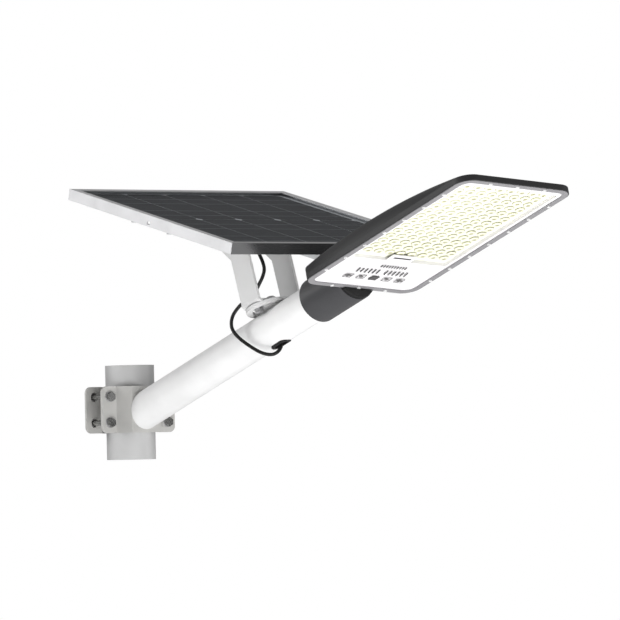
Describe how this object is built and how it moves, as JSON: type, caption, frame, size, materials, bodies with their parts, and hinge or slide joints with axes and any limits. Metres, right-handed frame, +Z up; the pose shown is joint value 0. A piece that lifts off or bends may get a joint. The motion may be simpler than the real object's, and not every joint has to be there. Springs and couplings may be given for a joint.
{
  "type": "solar street lamp",
  "caption": "Pole-clamped arm with a flat lamp head on its end and a tilting solar panel on a swivel bracket above.",
  "frame": {"origin": "on the pole's axis, at the bottom end of the pole stub", "axes": "+Z up along the pole, +X the way the arm and lamp head point, +Y across, so the lamp's left and right"},
  "size_m": [1.0161, 0.407, 0.4116],
  "materials": {
    "pole_paint": "powder coat, satin",
    "galvanised": "galvanised plate, dull",
    "dark_bolt": "dark zinc plate",
    "bright_bolt": "bright zinc plate",
    "arm_paint": "powder coat, satin",
    "bracket_paint": "powder coat, satin",
    "cable_jacket": "smooth jacket",
    "anodised": "anodised, satin",
    "panel_glass": "low-iron, clear",
    "silicon": "dark cell under glass",
    "ribbon": "tinned ribbon",
    "backsheet": "white film",
    "box_plastic": "moulded, pale grey",
    "black_plastic": "moulded",
    "housing_paint": "dark grey powder coat",
    "collar_paint": "dark grey powder coat",
    "trim_metal": "satin",
    "lens_white": "moulded, white",
    "optic": "moulded optic",
    "gasket": "silicone",
    "led": "phosphor",
    "board": "white solder mask",
    "cell_wrap": "shrink sleeve",
    "pcb": "solder mask"
  },
  "bodies": {
    "pole": {"pole_stub": "pole_paint"},
    "arm": {"clamp_front": "galvanised", "clamp_rear": "galvanised", "clamp_bolts": "dark_bolt", "clamp_washers": "bright_bolt", "clamp_nuts": "dark_bolt", "arm_tube": "arm_paint", "swivel_flange": "arm_paint", "cable_grommet": "black_plastic", "cable_lower": "cable_jacket", "arm_lead": "cable_jacket", "lead_connector": "black_plastic"},
    "bracket": {"u_bracket": "bracket_paint", "swivel_bolts": "bright_bolt", "swivel_nuts": "bright_bolt", "pivot_bolts": "bright_bolt", "pivot_nuts": "bright_bolt"},
    "panel": {"frame_front": "anodised", "frame_rear": "anodised", "frame_left": "anodised", "frame_right": "anodised", "corner_keys": "anodised", "panel_glass": "panel_glass", "solar_cells": "silicon", "cell_ribbons": "ribbon", "backsheet": "backsheet", "cross_rails": "galvanised", "rail_screws": "bright_bolt", "panel_saddle": "bracket_paint", "saddle_bolts": "bright_bolt", "tilt_bolts": "bright_bolt", "tilt_nuts": "bright_bolt", "junction_box": "box_plastic", "junction_lid": "box_plastic", "cable_gland": "black_plastic", "cable_upper": "cable_jacket"},
    "head": {"head_housing": "housing_paint", "spigot_collar": "collar_paint", "collar_plug": "black_plastic", "collar_bolt": "bright_bolt", "lens_trim": "trim_metal", "trim_screws": "bright_bolt", "lens_cover": "lens_white", "receiver_window": "black_plastic", "lens_gasket": "gasket", "optic_sheet": "optic", "led_lenses": "optic", "leds": "led", "led_board": "board", "heat_spreader": "anodised", "battery_cells": "cell_wrap", "battery_tray": "black_plastic", "controller_board": "pcb"}
  },
  "joints": [
    {"name": "arm_turn", "type": "hinge", "parent": "pole", "child": "arm", "pos_m": [0, 0, 0.078], "axis": [0, 0, 1], "continuous": true},
    {"name": "bracket_swivel", "type": "hinge", "parent": "arm", "child": "bracket", "pos_m": [0.37089, 0, 0.22884], "axis": [-0.3256, 0, 0.9455], "range_deg": [-30, 30], "deforming": ["cable_lower"]},
    {"name": "panel_tilt", "type": "hinge", "parent": "bracket", "child": "panel", "pos_m": [0.34077, 0, 0.3163], "axis": [0, -1, 0], "range_deg": [0, 30], "deforming": ["cable_upper"]},
    {"name": "head_roll", "type": "hinge", "parent": "arm", "child": "head", "pos_m": [0.52949, 0, 0.24432], "axis": [0.9455, 0, 0.3256], "range_deg": [-10, 10]}
  ]
}
